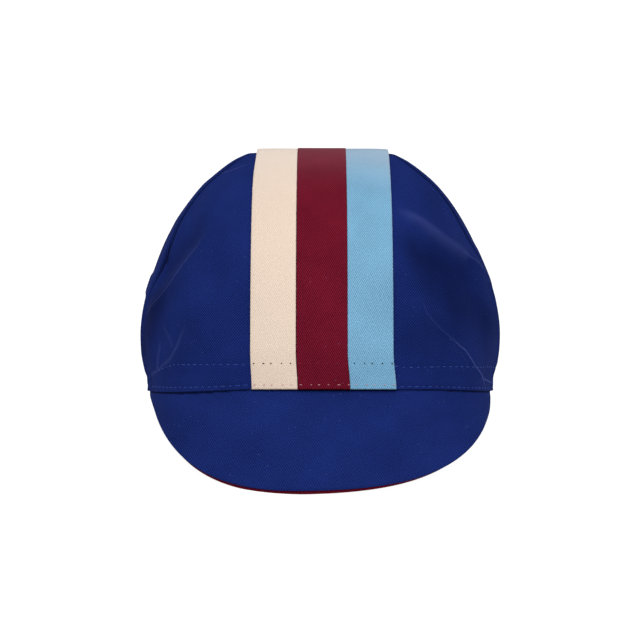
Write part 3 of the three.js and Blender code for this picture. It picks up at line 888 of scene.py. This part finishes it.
def cotton_webbing(name, rgb):
    """Soft plain webbing of the sweatband: close ribs across its height, 1.1 mm apart."""
    return woven_material(name, rgb, pitch=1.1 * MM, lean=90, ridge=0.09 * MM, weave=0.12, mottle=0.35,
                          sheen=0.2)


def spun_thread(name, rgb):
    """Polyester sewing thread: two plies twisted together, a little glossier than the cloth."""
    material, tree, places = new_material(name)
    plies = reckoned(tree, "SINE", turns_along(tree, places["UV"], (1 / PLY_PITCH, 1.0)))
    share = reckoned(tree, "MULTIPLY_ADD", plies, 0.5, 0.5)
    tone = mixed(tree, share, scaled(rgb, 0.7), scaled(rgb, 1.2))
    add_surface(tree, {"Base Color": tone, "Roughness": 0.65, "IOR": 1.5, "Specular IOR Level": 0.2})
    return material


def lit_acrylic(name, rgb, glow):
    """Matt white acrylic of a light table. It lets most light through, so it reflects little, and the
    lamps below make it evenly white with almost no shadows, but for the faintest cloudiness."""
    material, tree, places = new_material(name)
    tone = mixed(tree, noise(tree, places["Object"], 1 / 3, 2.0), scaled(rgb, 0.99), scaled(rgb, 1.01))
    add_surface(tree, {
        "Base Color": tone, "Roughness": 0.6, "Specular IOR Level": 0.1,
        "Emission Color": (1.0, 1.0, 1.0, 1.0), "Emission Strength": glow,
    })
    return material


def ready_material(name, make, *settings, **named):
    """The material of that name, made the first time it is asked for."""
    return bpy.data.materials.get(name) or make(name, *settings, **named)


# Pieces

# Rows and columns of the pieces' grids.
HEM_ROWS = 30
HEM_TOP = 0.1  # rise of the stretch with closer rows
UPPER_ROWS = 145
COLUMNS = 118
SEAM_COLUMNS = 12
SEAM_STRIP = 0.06  # share of a panel's width with closer columns
TAPE_ROWS = 1101
TAPE_COLUMNS = 11
BAND_ROWS = 26
BAND_COLUMNS = 721
PEAK_COLUMNS = 361
PEAK_ROWS = 70

# The painted shade along the groove of an ear seam: its half width, and what it gains between the
# middle two rises.
SEAM_LINE = 1.0 * MM
SEAM_LINE_GAIN = 0.8 * MM
SEAM_LINE_RISES = (0.3, 0.36, 0.72, 0.8)
SEAM_PAINTED_SHADE = 0.85

# Stations of a tape, away from its top, over which each of these fades out.
CREST_STATIONS = (0.25, 0.6)
PULL_STATIONS = (0.12, 0.42)
# The paler colour over the top of a tape is a painted sheen from the light above.
PAINTED_SHEEN_STATIONS = (0.15, 0.5)

BAND_ROUNDING = 0.35  # a lower power keeps the webbing flatter between its round edges
# The peak's painted shadow under the hem.
HEM_PAINTED_SHADOW = 0.85  # how dark the peak is right under the hem
LINING_SHOWN = 0.8 * MM  # how far the underside stands out beyond the cover
LINING_SIDES = (-0.62, 0.1)  # shares along the peak, to the left, between which that sets in
LINING_EDGE = (0.9, 1)  # shares of the way out between which it does
SHIFT_SIDES = (0.45, 0.85)  # shares along the peak, to both sides, between which its shift sets in


class CrownOperator(bpy.types.Operator):
    """Makes the four twill panels of the crown, with their folds, seams, gathers and stitched hem"""

    bl_idname = "cap.crown"
    bl_label = "Crown Panels"

    def execute(self, context):
        form, colours = cap_form()
        twill = ready_material("blue_cotton_twill", cotton_twill, colours.blue, creased=True)
        for side, side_name in ((1, "right"), (-1, "left")):
            for is_front, end_name in ((True, "front"), (False, "rear")):
                self.panel(form, side, is_front, f"{end_name}_{side_name}", twill)
        return {"FINISHED"}

    def panel(self, form, side, is_front, place, material):
        """One panel: columns between the middle seam and the ear seam, closer together at the ear seam, and
        at each column a loop up the outer face to the top and down the inner face."""
        edge = form.sizes.cloth / 2 / form.cloth_length
        hem = np.linspace(edge, HEM_TOP, HEM_ROWS, endpoint=False)
        above = np.linspace(HEM_TOP, 1, UPPER_ROWS)
        rises, depths = wall_profile(np.concatenate([hem, above]), form.sizes.cloth, edge)
        near_seam = 1 - np.linspace(0, SEAM_STRIP, SEAM_COLUMNS, endpoint=False)
        shares = np.concatenate([np.linspace(0, 1 - SEAM_STRIP, COLUMNS), near_seam[::-1]])
        seam = form.seam_angle(side, rises)
        turns = shares[:, None] * seam if is_front else math.pi + shares[:, None] * (seam - math.pi)
        angle = side * turns
        rise = np.broadcast_to(rises, angle.shape)
        grid = form.crown(angle, rise, depths)
        base = form.base(angle, rise)
        uv = np.stack([side * arc_lengths(base, axis=0), rise * form.cloth_length], axis=-1)
        # Painted shade along the groove of the ear seam, wider between the middle rises.
        wider = smoothstep(rise, *SEAM_LINE_RISES[:2]) * (1 - smoothstep(rise, *SEAM_LINE_RISES[2:]))
        line = SEAM_LINE + SEAM_LINE_GAIN * wider
        seam_painted_shade = SEAM_PAINTED_SHADE * bell(form.beside_seam(angle, rise), 0, line)
        # Painted shade of the seam's groove, the hollows and the sides, together.
        shade = 1 - (1 - seam_painted_shade) * (1 - form.painted_shade_share(angle, rise))
        piece = loop_solid(form, f"panel_{place}", grid, uv, material, shade=shade,
                           attributes=form.pressed_lines(side, angle, rise))
        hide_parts(f"crown_{place}")


def tape_sway(points):
    """How far the tapes lean to the right near the peak: smoothly more further down and to the right."""
    low = 1 - smoothstep(points[..., 2], *LEAN_HEIGHTS)
    spread = 0.5 + 0.5 * smoothstep(points[..., 0], *LEAN_SPREAD)
    return np.where(points[..., 1] < 0, TAPES_LEAN * low * spread, 0)


class TapesOperator(bpy.types.Operator):
    """Makes the three woven tapes that run over the middle of the crown"""

    bl_idname = "cap.tapes"
    bl_label = "Tapes"

    def execute(self, context):
        form, colours = cap_form()
        sizes = form.sizes
        left = TAPES_SHIFT - form.tapes_width / 2
        middle = left + sizes.cream_width + SEAM_GAP / 2
        right = middle + sizes.burgundy_width + SEAM_GAP
        end = left + form.tapes_width
        cream = ready_material("cream_twill_tape", woven_tape, colours.cream, ridge=0.02, weave=0.07,
                               mottle=0.14, sheen=0.25, film=(1.0, 1.0, 1.0))
        burgundy = ready_material("burgundy_twill_tape", woven_tape, colours.burgundy, ridge=0.035,
                                  weave=0.75, mottle=2.4, sheen=0.3, film=(1.0, 0.5, 0.6), lint=0.5)
        sky = ready_material("sky_twill_tape", woven_tape, colours.sky, ridge=0.035, weave=0.28,
                             mottle=0.9, sheen=0.5, film=(1.0, 0.85, 0.8))
        self.tape(form, "cream", (left, middle), cream, teeth=(0.14, 0.2), pull=CREST_PULL, painted_sheen=0.2)
        self.tape(form, "burgundy", (middle, right), burgundy, (0.2, 0.05), BURGUNDY_PROUD, painted_sheen=0.05)
        self.tape(form, "sky", (right, end), sky, teeth=(0.05, 0.12), painted_sheen=0.17)
        return {"FINISHED"}

    def tape(self, form, colour_name, borders, material, teeth, proud=0.0, pull=0.0, painted_sheen=0.0):
        """One tape: loops across it, with round corners, at stations from the front of the rim to its back.
        The threads that turn back at its two edges give each edge small teeth, of the given depth in
        millimetres, and it lies the given height prouder than its neighbours. Over the top its left edge
        is drawn in by the pull, and its colour is painted paler by the given share, a painted sheen from
        the light above."""
        turn = np.linspace(0, math.pi / 2, 4)
        round_in = TAPE_CORNER * (1 - np.cos(turn))
        round_down = TAPE_CORNER * (1 - np.sin(turn))
        width = borders[1] - borders[0]
        inside = np.linspace(TAPE_CORNER, width - TAPE_CORNER, TAPE_COLUMNS)[1:-1]
        across = np.concatenate([round_in, inside, (width - round_in)[::-1]])
        drop = np.concatenate([round_down, np.zeros(len(inside)), round_down[::-1]])
        face = TAPE_LIFT + proud + form.sizes.tape_thickness
        heights = np.concatenate([face - drop, np.full(len(across), TAPE_BED)])
        across = np.concatenate([across, across[::-1]])

        x, station = np.meshgrid(borders[0] + across, np.linspace(-1, 1, TAPE_ROWS))
        from_top = np.abs(station)
        angle, rise = form.tape_place(x, station)
        base = form.base(angle, rise)
        along = arc_lengths(base, axis=0)
        bite = np.abs(np.sin(math.pi * along / TOOTH_PITCH))
        left_bite = teeth[0] * MM * bite * bell(x - borders[0], 0, TOOTH_REACH)
        right_bite = teeth[1] * MM * bite * bell(borders[1] - x, 0, TOOTH_REACH)
        crest = 1 - smoothstep(from_top, *CREST_STATIONS)
        drop = CREST_DROP * crest * (1 - ((x - TAPES_SHIFT) / (form.tapes_width / 2)) ** 2)
        heights = TAPE_BED + (heights - TAPE_BED) * (1 - drop / (face - TAPE_BED))
        grid = base + form.normal(angle, rise) * heights[..., None]
        drawn_in = pull * (1 - smoothstep(from_top, *PULL_STATIONS)) * (borders[1] - x) / width
        grid[..., 0] = x + left_bite - right_bite + drawn_in
        grid[[0, -1], :, 2] = form.rim_edge(grid[[0, -1], :, 1]) + TAPE_HEM
        grid[..., 0] += tape_sway(grid)
        uv = np.stack([x, along], axis=-1)
        # Painted sheen: the top of the tape is painted paler, towards the film's colour.
        shade = painted_sheen * (1 - smoothstep(from_top, *PAINTED_SHEEN_STATIONS))
        name = f"{colour_name}_tape"
        piece = loop_solid(form, name, grid, uv, material, shade=shade)
        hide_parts(f"tape_{colour_name}")


class SweatbandOperator(bpy.types.Operator):
    """Makes the webbing sweatband inside the rim"""

    bl_idname = "cap.sweatband"
    bl_label = "Sweatband"

    def execute(self, context):
        form, colours = cap_form()
        webbing = ready_material("cotton_webbing", cotton_webbing, colours.band)
        bottom = BAND_LIFT / form.cloth_length
        band_top = (BAND_LIFT + form.sizes.band_height) / form.sizes.crown_height
        top = turning_point(lambda rise: form.section(rise)[..., 0] < band_top, np.zeros(1), np.ones(1))[0]
        rows = np.linspace(0, 1, BAND_ROWS)
        depth = BAND_THICKNESS / 2 * np.sin(rows * math.pi) ** BAND_ROUNDING
        rises = bottom + (top - bottom) * np.concatenate([rows, rows[::-1]])
        middle = -form.sizes.cloth - SEAM_GAP - BAND_THICKNESS / 2
        depths = np.concatenate([middle + depth, (middle - depth)[::-1]])
        angle = np.linspace(-math.pi, math.pi, BAND_COLUMNS)[:, None]
        rise = np.broadcast_to(rises, (BAND_COLUMNS, len(rises)))
        grid = form.crown(angle, rise, depths, sags=False)
        uv = np.stack(np.broadcast_arrays(angle * form.half_width, rise * form.cloth_length), axis=-1)
        piece = loop_solid(form, "webbing_band", grid, uv, webbing, ring=True)
        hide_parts("sweatband")
        return {"FINISHED"}


class PeakOperator(bpy.types.Operator):
    """Makes the peak: its blue cover and the burgundy underside, which shows as a thin rim"""

    bl_idname = "cap.peak"
    bl_label = "Peak"

    def execute(self, context):
        form, colours = cap_form()
        cover = ready_material("blue_cotton_twill_peak", cotton_twill, colours.blue, lean=62, weave=0.3)
        lining = ready_material("burgundy_cotton_twill", cotton_twill, colours.underside)
        top, bottom = PEAK_COVER + SEAM_GAP / 2, PEAK_LINING + SEAM_GAP / 2
        self.layer(form, "peak_upper_cloth", 0.0, top, cover, "blue_twill", "peak_cover")
        self.layer(form, "peak_under_cloth", top, bottom, lining, "burgundy_twill", "peak_underside")
        return {"FINISHED"}

    def layer(self, form, name, depth, thickness, material, slot, node):
        """One layer: stations along the seam, and at each a loop from the seam out to the edge and back,
        rounded where it turns over the edge. The lower one reaches out further, most on the left."""
        edge = thickness / 2 / form.sizes.peak_depth
        places, depths = wall_profile(np.linspace(edge, 1, PEAK_ROWS), thickness, edge, steps=5)
        along, out = np.meshgrid(towards_ends(PEAK_COLUMNS), 1 - places, indexing="ij")
        full_depth = form.peak_depth_at(along)
        from_seam = full_depth * out
        shown = (LINING_SHOWN if depth > 0 else 0.0) * smoothstep(-along, *LINING_SIDES)
        reach = 1 + shown * smoothstep(out, *LINING_EDGE) / full_depth
        face = form.peak_face(along, out * reach)
        grid = face + form.peak_normal(along, out) * (depths - depth)[None, :, None]
        grid[..., 2] += SEAM_CLOSED * (1 - smoothstep(from_seam, 0, SEAM_STRETCH))
        past_seam = smoothstep(from_seam, *SHIFT_STRETCH)
        grid[..., 0] += PEAK_SHIFT * past_seam * smoothstep(abs(along), *SHIFT_SIDES)
        rim = form.outline(along * PEAK_SPAN, form.section(np.zeros_like(along)))
        uv = np.stack([rim[..., 0], from_seam], axis=-1)
        # Painted shadow on the peak under the hem.
        shade = HEM_PAINTED_SHADOW * form.under_hem(along * PEAK_SPAN, grid[..., 2])
        piece = loop_solid(form, name, grid, uv, material, shade=shade)
        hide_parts(node)


HEM_THREAD = 0.19 * MM  # radius of the threads
EAR_THREAD = 0.2 * MM
HEM_CLEAR = 1.2 * MM  # cloth beside the tapes without stitches
HEM_SINK = 0.02 * MM  # how deep the hem's stitches lie, and how much deeper some of them do
HEM_UNEVEN = 0.12 * MM
MARK_UNEVEN = 0.1 * MM
MARK_STRAY = 0.7 * MM  # how far a mark strays from its even place
EAR_STITCH = 1.5 * MM
EAR_STITCH_PITCH = 3.1 * MM
EAR_STEP = 0.8 * MM  # to both sides of a stitch, over which its direction is taken
EAR_ROW_AWAY = 0.7 * MM  # distance of the row from its seam
EAR_ROW_ENDS = (0.03, 0.86)  # rises between which the ear seams' stitches show


def thread_piece(form, name, centres, along, outward, lengths, radius, material):
    """Many short stitches in one mesh: a six-sided capsule of five rings laid at each centre, along one
    direction and with its round side out."""
    rings = np.array([-0.5, -0.42, 0.0, 0.42, 0.5])
    widths = np.array([0.25, 0.85, 1.0, 0.85, 0.25])
    arch = np.array([-0.9, -0.25, 0.25, -0.25, -0.9])
    sides = 6
    turn = np.arange(sides) * 2 * math.pi / sides
    across = unit(np.cross(along, outward))
    outward = unit(np.cross(across, along))
    forwards = rings[None, :, None] * np.asarray(lengths)[:, None, None]
    sideways = radius * widths[:, None] * np.cos(turn)
    upwards = radius * (widths[:, None] * np.sin(turn) + arch[:, None])
    points = (
        centres[:, None, None, :]
        + forwards[..., None] * along[:, None, None, :]
        + sideways[None, :, :, None] * across[:, None, None, :]
        + upwards[None, :, :, None] * outward[:, None, None, :]
    )
    caps = np.array([[0, 1, 2, 3], [0, 3, 4, 5]])
    shape = np.concatenate([
        join_faces(len(rings), sides, ring=True), caps[:, ::-1], caps + (len(rings) - 1) * sides,
    ])
    per_stitch = len(rings) * sides
    faces = (shape[None] + per_stitch * np.arange(len(centres))[:, None, None]).reshape(-1, 4)
    uv = np.broadcast_to(forwards, (len(centres), len(rings), sides))
    uv = np.stack([uv, np.broadcast_to(turn / (2 * math.pi), uv.shape)], axis=-1)
    return new_piece(name, form.stand(points).reshape(-1, 3), faces, uv.reshape(-1, 2), material, {})


class StitchesOperator(bpy.types.Operator):
    """Makes the hem's two rows of stitches, the needle marks in the tapes and the ear seams' stitches"""

    bl_idname = "cap.stitches"
    bl_label = "Stitches"

    def execute(self, context):
        form, colours = cap_form()
        self.draw = np.random.default_rng(SEED)
        blue = ready_material("blue_sewing_thread", spun_thread, colours.thread)
        dark = ready_material("dark_sewing_thread", spun_thread, colours.hole_shade_thread)
        pale = ready_material("pale_sewing_thread", spun_thread, colours.pale_thread)
        burgundy = ready_material("burgundy_sewing_thread", spun_thread, colours.burgundy_thread)
        self.hem_rows(form, blue)
        self.tape_marks(form, dark, pale, burgundy)
        self.ear_rows(form, blue)
        return {"FINISHED"}

    def row_places(self, form, row):
        """Angles and rises of a row's stitches, one at each pitch round the rim."""
        count = int(math.pi * form.half_width / form.sizes.stitch_pitch)
        angle = np.arange(-count, count + 1) * form.sizes.stitch_pitch / form.half_width
        return angle, listed(row, angle)

    def laid(self, form, angle, rise, step, sink):
        """Places, directions and outward directions of stitches on the crown's cloth. The step is the
        small change of angle and rise along a stitch, and sink is how deep its middle lies."""
        ahead = form.crown(angle + step[0], rise + step[1])
        behind = form.crown(angle - step[0], rise - step[1])
        outward = form.normal(angle, rise)
        return (ahead + behind) / 2 - outward * sink, unit(ahead - behind), outward

    def hem_rows(self, form, thread):
        """Both rows round the rim, apart from where the tapes cover the blue cloth."""
        parts = []
        for row in (UPPER_STITCHES, LOWER_STITCHES):
            angle, rise = self.row_places(form, row)
            keep = form.beside_tapes(angle, rise) > HEM_CLEAR
            angle, rise = angle[keep], rise[keep]
            step = form.sizes.stitch_length / 2 / form.half_width
            parts.append(self.laid(form, angle, rise, (step, 0.0), HEM_SINK))
        centres, along, outward = (np.concatenate(arrays) for arrays in zip(*parts))
        lengths = form.sizes.stitch_length * self.draw.uniform(0.5, 1.3, len(centres))
        centres = centres - outward * self.draw.uniform(0, HEM_UNEVEN, (len(centres), 1))
        thread_piece(form, "hem_stitches", centres, along, outward, lengths, HEM_THREAD, thread)

    def tape_marks(self, form, dark, pale, burgundy):
        """Needle marks on the tapes: in the upper row dark grey marks for the holes where the thread sinks into
        the pale tapes, partly thread and partly painted shade, and dim stitches on the burgundy tape, and pale
        stitches in the lower row."""
        count = int(form.tapes_width / form.sizes.stitch_pitch)
        x = TAPES_SHIFT + (np.arange(count) - (count - 1) / 2) * form.sizes.stitch_pitch
        x = x + self.draw.uniform(-MARK_STRAY, MARK_STRAY, count)
        on_burgundy = self.on_burgundy(form, x)
        upper = listed(UPPER_STITCHES, np.zeros(count))
        lower = listed(LOWER_STITCHES, np.zeros(count))
        self.marks(form, "needle_holes", x[~on_burgundy], upper[~on_burgundy], 0.7, 0.25, dark, "cream_tape")
        self.marks(form, "dim_stitches", x[on_burgundy], upper[on_burgundy], 0.8, 0.15, burgundy,
                   "burgundy_tape")
        self.marks(form, "pale_stitches", x, lower, 1.1, 0.15, pale, "burgundy_tape")

    def on_burgundy(self, form, x):
        """Whether a place at the side is on the middle tape."""
        return np.abs(x - TAPES_SHIFT) < form.sizes.burgundy_width / 2

    def marks(self, form, name, x, rise, length, radius, material, slot):
        """Short stitches across the tapes, in front and at the back, each sunk a little into their face."""
        front = form.angle_across(x, rise)
        angle = np.concatenate([front, np.where(x < 0, -math.pi, math.pi) - front])
        rise = np.concatenate([rise, rise])
        x = np.concatenate([x, x])
        outward = form.normal(angle, rise)
        top = TAPE_LIFT + form.sizes.tape_thickness + BURGUNDY_PROUD * self.on_burgundy(form, x)
        top = top - self.draw.uniform(0, MARK_UNEVEN, len(x))
        centres = form.base(angle, rise) + outward * top[:, None]
        centres[:, 0] += tape_sway(centres)
        along = np.broadcast_to((1.0, 0.0, 0.0), centres.shape)
        lengths = length * MM * self.draw.uniform(0.8, 1.2, len(x))
        thread_piece(form, name, centres, along, outward, lengths, radius * MM, material)

    def ear_rows(self, form, thread):
        """A row of fine stitches in each ear seam, from above the hem to near the tapes."""
        parts = []
        for side in (1, -1):
            rise = np.arange(*EAR_ROW_ENDS, EAR_STITCH_PITCH / form.cloth_length)
            angle = side * (form.seam_angle(side, rise) - EAR_ROW_AWAY / form.half_width)
            parts.append(self.laid(form, angle, rise, (0.0, EAR_STEP / form.cloth_length), 0.0))
        centres, along, outward = (np.concatenate(arrays) for arrays in zip(*parts))
        lengths = EAR_STITCH * self.draw.uniform(0.7, 1.1, len(centres))
        thread_piece(form, "ear_seam_stitches", centres, along, outward, lengths, EAR_THREAD, thread)


class StageOperator(bpy.types.Operator):
    """Makes the studio: a pale floor, soft lights and the camera"""

    bl_idname = "cap.stage"
    bl_label = "Stage"

    def execute(self, context):
        form, _ = cap_form()
        self.floor()
        self.lights(context)
        self.camera(context, form)
        return {"FINISHED"}

    def floor(self):
        """A wide level square just under what the cap stands on."""
        half = 30.0
        mesh = bpy.data.meshes.new("studio_floor")
        corners = [(-half, -half, 0), (half, -half, 0), (half, half, 0), (-half, half, 0)]
        mesh.from_pydata(corners, [], [(0, 1, 2, 3)])
        grey = (0.14, 0.14, 0.14)
        mesh.materials.append(ready_material("lit_white_acrylic", lit_acrylic, grey, glow=0.97))
        floor = bpy.data.objects.new("studio_floor", mesh)
        bpy.context.scene.collection.objects.link(floor)

    def lights(self, context):
        """A dim white surround and two very soft lights, from in front, a little to the right, and from
        overhead."""
        world = bpy.data.worlds.new("white_studio")
        world.use_nodes = True
        background = world.node_tree.nodes["Background"]
        background.inputs["Color"].default_value = (1.0, 1.0, 1.0, 1.0)
        background.inputs["Strength"].default_value = 0.3
        context.scene.world = world
        context.scene.view_settings.view_transform = "Standard"
        for name, elevation, turn, softness, strength in (
            ("front_light", 36, 6, 40, 1.05),
            ("overhead_light", 78, 0, 70, 2.05),
        ):
            light = bpy.data.lights.new(name, "SUN")
            light.angle = softness * DEGREE
            light.energy = strength
            lamp = bpy.data.objects.new(name, light)
            away = 2 * math.cos(elevation * DEGREE)
            height = 2 * math.sin(elevation * DEGREE)
            lamp.location = (away * math.sin(turn * DEGREE), -away * math.cos(turn * DEGREE), height)
            lamp.rotation_euler = ((90 - elevation) * DEGREE, 0.0, turn * DEGREE)
            context.scene.collection.objects.link(lamp)

    def camera(self, context, form):
        """A long lens level with the rim, a little over a metre in front of the ears."""
        distance = 1.11
        tilt = 1.715 * DEGREE  # upwards from the rim's plane
        place, ahead = form.stand(np.array([(0.0, -distance, 0.0),
                                            (0.0, -distance + math.cos(tilt), math.sin(tilt))]))
        data = bpy.data.cameras.new("camera")
        data.sensor_width = 36.0
        data.lens = 131.5
        camera = bpy.data.objects.new("camera", data)
        camera.location = place
        camera.rotation_euler = Vector(ahead - place).to_track_quat("-Z", "Y").to_euler()
        context.scene.collection.objects.link(camera)
        context.scene.camera = camera


class CapPanel(bpy.types.Panel):
    """Sizes, colours and pieces of the cap"""

    bl_idname = "VIEW3D_PT_cap"
    bl_label = "Cycling Cap"
    bl_space_type = "VIEW_3D"
    bl_region_type = "UI"
    bl_category = "Cap"

    def draw(self, context):
        for group in cap_settings():
            box = self.layout.box()
            for name in group.__annotations__:
                box.prop(group, name)
        for operator in PIECES:
            self.layout.operator(operator.bl_idname)


PIECES = (CrownOperator, TapesOperator, SweatbandOperator, PeakOperator, StitchesOperator, StageOperator)
CLASSES = (CapSizes, CapColours, *PIECES, CapPanel)


def register():
    for cls in CLASSES:
        bpy.utils.register_class(cls)
    bpy.types.Scene.cap_sizes = PointerProperty(type=CapSizes)
    bpy.types.Scene.cap_colours = PointerProperty(type=CapColours)


def unregister():
    del bpy.types.Scene.cap_colours
    del bpy.types.Scene.cap_sizes
    for cls in reversed(CLASSES):
        bpy.utils.unregister_class(cls)


def main():
    """Registers the classes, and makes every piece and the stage."""
    register()
    bpy.ops.cap.crown()
    bpy.ops.cap.tapes()
    bpy.ops.cap.sweatband()
    bpy.ops.cap.peak()
    bpy.ops.cap.stitches()
    bpy.ops.cap.stage()


if __name__ == "__main__":
    main()
